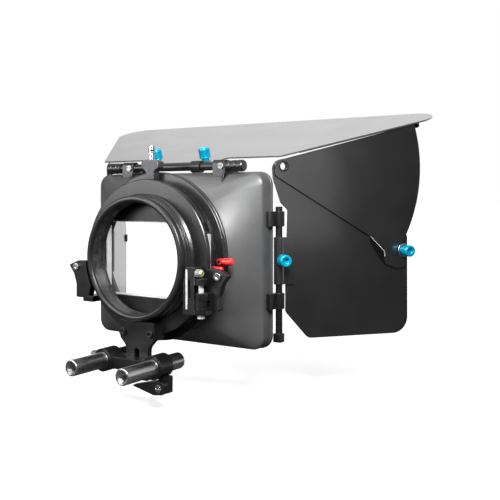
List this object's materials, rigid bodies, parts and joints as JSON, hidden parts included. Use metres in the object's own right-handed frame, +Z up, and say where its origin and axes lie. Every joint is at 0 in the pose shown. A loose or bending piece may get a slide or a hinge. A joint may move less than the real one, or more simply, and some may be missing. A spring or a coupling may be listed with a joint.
{
  "type": "swing-away matte box",
  "caption": "Camera matte box with a flared hood, hinged top flag, hinged side flags with swinging wings, rotating filter stage and a rail clamp.",
  "frame": {"origin": "centre of the lens ring's rear face on the optical axis", "axes": "+Y along the optical axis towards the scene, +X to the operator's right, +Z up"},
  "size_m": [0.4142, 0.286, 0.263],
  "materials": {
    "rod_metal": "satin ground",
    "satin_black_metal": "fine satin black anodised",
    "ring_black": "semi-gloss black anodised",
    "hood_plastic": "fine-grained matte moulded",
    "flag_black": "fine matte powder coat",
    "top_flag_sheet": "satin powder coat with a strong grazing sheen",
    "blue_anodised": "bright blue anodised",
    "red_anodised": "bright red anodised",
    "silver_steel": "bright machined",
    "grey_block": "bead blasted",
    "brass_tip": "polished",
    "tray_metal": "brushed"
  },
  "bodies": {
    "base": {"rod_right": "rod_metal", "rod_left": "rod_metal", "rod_clamp_block": "satin_black_metal", "clamp_lever_screw": "silver_steel", "height_clamp_plate": "satin_black_metal"},
    "clamp_thumbscrew": {"clamp_thumbscrew": "silver_steel"},
    "clamp_lever": {"clamp_lever": "satin_black_metal"},
    "height_screw": {"height_screw": "satin_black_metal"},
    "mount": {"post_plate": "satin_black_metal", "post_screws": "satin_black_metal", "lens_ring": "ring_black", "rear_plate": "ring_black", "hinge_block": "grey_block", "hinge_pin": "silver_steel"},
    "swing_lock": {"swing_lock_screw": "satin_black_metal", "swing_lock_tip": "brass_tip"},
    "swing_frame": {"right_ear_hinge_leaf": "satin_black_metal", "left_ear": "satin_black_metal", "ear_screws": "silver_steel", "collar_ring": "ring_black", "top_latch_bracket": "grey_block", "lever_pivot_pins": "satin_black_metal", "hood": "hood_plastic", "top_hinge_bracket_right": "satin_black_metal", "top_hinge_bracket_left": "satin_black_metal", "bracket_screws": "silver_steel", "side_rod_right": "satin_black_metal", "side_rod_left": "satin_black_metal", "rim_clips_right": "satin_black_metal", "rim_clips_left": "satin_black_metal"},
    "latch_plunger": {"latch_plunger": "silver_steel"},
    "brake_lever_front": {"brake_lever_front": "red_anodised"},
    "brake_lever_rear": {"brake_lever_rear": "red_anodised"},
    "filter_stage": {"filter_stage_ring": "satin_black_metal", "tray_spring_clip": "silver_steel"},
    "filter_tray": {"filter_tray": "tray_metal"},
    "top_flag": {"top_hinge_rod": "satin_black_metal", "rod_end_caps": "satin_black_metal", "top_flag_arms": "satin_black_metal", "top_flag": "top_flag_sheet"},
    "top_knob_right": {"top_knob_right": "blue_anodised"},
    "top_knob_left": {"top_knob_left": "blue_anodised"},
    "side_flag_right": {"side_flag_right": "flag_black", "hinge_centre_block_right": "flag_black", "wing_eyelet_right": "satin_black_metal", "wing_washer_right": "silver_steel", "wing_nut_right": "satin_black_metal"},
    "flag_wing_right": {"flag_wing_right": "flag_black"},
    "wing_knob_right": {"wing_knob_right": "blue_anodised"},
    "hinge_knob_right": {"hinge_knob_right": "blue_anodised"},
    "side_flag_left": {"side_flag_left": "flag_black", "hinge_centre_block_left": "flag_black", "wing_eyelet_left": "satin_black_metal", "wing_washer_left": "silver_steel", "wing_nut_left": "satin_black_metal"},
    "flag_wing_left": {"flag_wing_left": "flag_black"},
    "wing_knob_left": {"wing_knob_left": "blue_anodised"},
    "hinge_knob_left": {"hinge_knob_left": "blue_anodised"}
  },
  "joints": [
    {"name": "clamp_thumbscrew_turn", "type": "hinge", "parent": "base", "child": "clamp_thumbscrew", "pos_m": [-0.045, 0.0015, -0.095], "axis": [1, 0, 0], "continuous": true},
    {"name": "clamp_lever_swing", "type": "hinge", "parent": "base", "child": "clamp_lever", "pos_m": [0.0364, -0.002, -0.1124], "axis": [0, -1, 0], "range_deg": [0, 40]},
    {"name": "height_screw_turn", "type": "hinge", "parent": "base", "child": "height_screw", "pos_m": [0, 0.015, -0.098], "axis": [0, 1, 0], "continuous": true},
    {"name": "height_slide", "type": "slide", "parent": "base", "child": "mount", "axis": [0, 0, 1], "range_m": [-0.006, 0.007]},
    {"name": "swing_lock_turn", "type": "hinge", "parent": "mount", "child": "swing_lock", "pos_m": [0.07, 0.0066, -0.01], "axis": [1, 0, 0], "continuous": true},
    {"name": "swing_away", "type": "hinge", "parent": "mount", "child": "swing_frame", "pos_m": [0.073, 0.008, -0.03], "axis": [0, 0, -1], "range_deg": [0, 100]},
    {"name": "latch_plunger_pull", "type": "slide", "parent": "swing_frame", "child": "latch_plunger", "axis": [0, 0, 1], "range_m": [0, 0.004]},
    {"name": "brake_lever_front_turn", "type": "hinge", "parent": "swing_frame", "child": "brake_lever_front", "pos_m": [0.077, 0.031, -0.0012], "axis": [0, -1, 0], "range_deg": [0, 34]},
    {"name": "brake_lever_rear_turn", "type": "hinge", "parent": "swing_frame", "child": "brake_lever_rear", "pos_m": [0.075, 0.025, -0.0076], "axis": [0, -1, 0], "range_deg": [0, 35]},
    {"name": "filter_stage_turn", "type": "hinge", "parent": "swing_frame", "child": "filter_stage", "pos_m": [0, 0.028, 0], "axis": [0, 1, 0], "continuous": true},
    {"name": "filter_tray_slide", "type": "slide", "parent": "filter_stage", "child": "filter_tray", "axis": [-1, 0, 0], "range_m": [0, 0.12]},
    {"name": "top_flag_hinge", "type": "hinge", "parent": "swing_frame", "child": "top_flag", "pos_m": [0, 0.06, 0.0853], "axis": [1, 0, 0], "range_deg": [0, 60]},
    {"name": "top_knob_right_turn", "type": "hinge", "parent": "top_flag", "child": "top_knob_right", "pos_m": [0.03, 0.0736, 0.09246], "axis": [0, -0.2957, 0.9553], "continuous": true},
    {"name": "top_knob_left_turn", "type": "hinge", "parent": "top_flag", "child": "top_knob_left", "pos_m": [-0.03, 0.0736, 0.09246], "axis": [0, -0.2957, 0.9553], "continuous": true},
    {"name": "side_flag_right_hinge", "type": "hinge", "parent": "swing_frame", "child": "side_flag_right", "pos_m": [0.1066, 0.0843, 0], "axis": [0, 0, -1], "range_deg": [-36, 40]},
    {"name": "flag_wing_right_pivot", "type": "hinge", "parent": "side_flag_right", "child": "flag_wing_right", "pos_m": [0.10876, 0.08706, 0.085], "axis": [-0.788, 0.6157, 0], "range_deg": [0, 25]},
    {"name": "wing_knob_right_turn", "type": "hinge", "parent": "side_flag_right", "child": "wing_knob_right", "pos_m": [0.19113, 0.18437, 0.0037], "axis": [0.788, -0.6157, 0], "continuous": true},
    {"name": "hinge_knob_right_turn", "type": "hinge", "parent": "side_flag_right", "child": "hinge_knob_right", "pos_m": [0.11448, 0.07814, -0.002], "axis": [0.788, -0.6157, 0], "continuous": true},
    {"name": "side_flag_left_hinge", "type": "hinge", "parent": "swing_frame", "child": "side_flag_left", "pos_m": [-0.1066, 0.0843, 0], "axis": [0, 0, 1], "range_deg": [-33.4, 42.6]},
    {"name": "flag_wing_left_pivot", "type": "hinge", "parent": "side_flag_left", "child": "flag_wing_left", "pos_m": [-0.10863, 0.08715, 0.085], "axis": [-0.8151, -0.5793, 0], "range_deg": [0, 25]},
    {"name": "wing_knob_left_turn", "type": "hinge", "parent": "side_flag_left", "child": "wing_knob_left", "pos_m": [-0.1865, 0.1881, 0.0037], "axis": [-0.8151, -0.5793, 0], "continuous": true},
    {"name": "hinge_knob_left_turn", "type": "hinge", "parent": "side_flag_left", "child": "hinge_knob_left", "pos_m": [-0.11475, 0.07851, -0.002], "axis": [-0.8151, -0.5793, 0], "continuous": true}
  ]
}
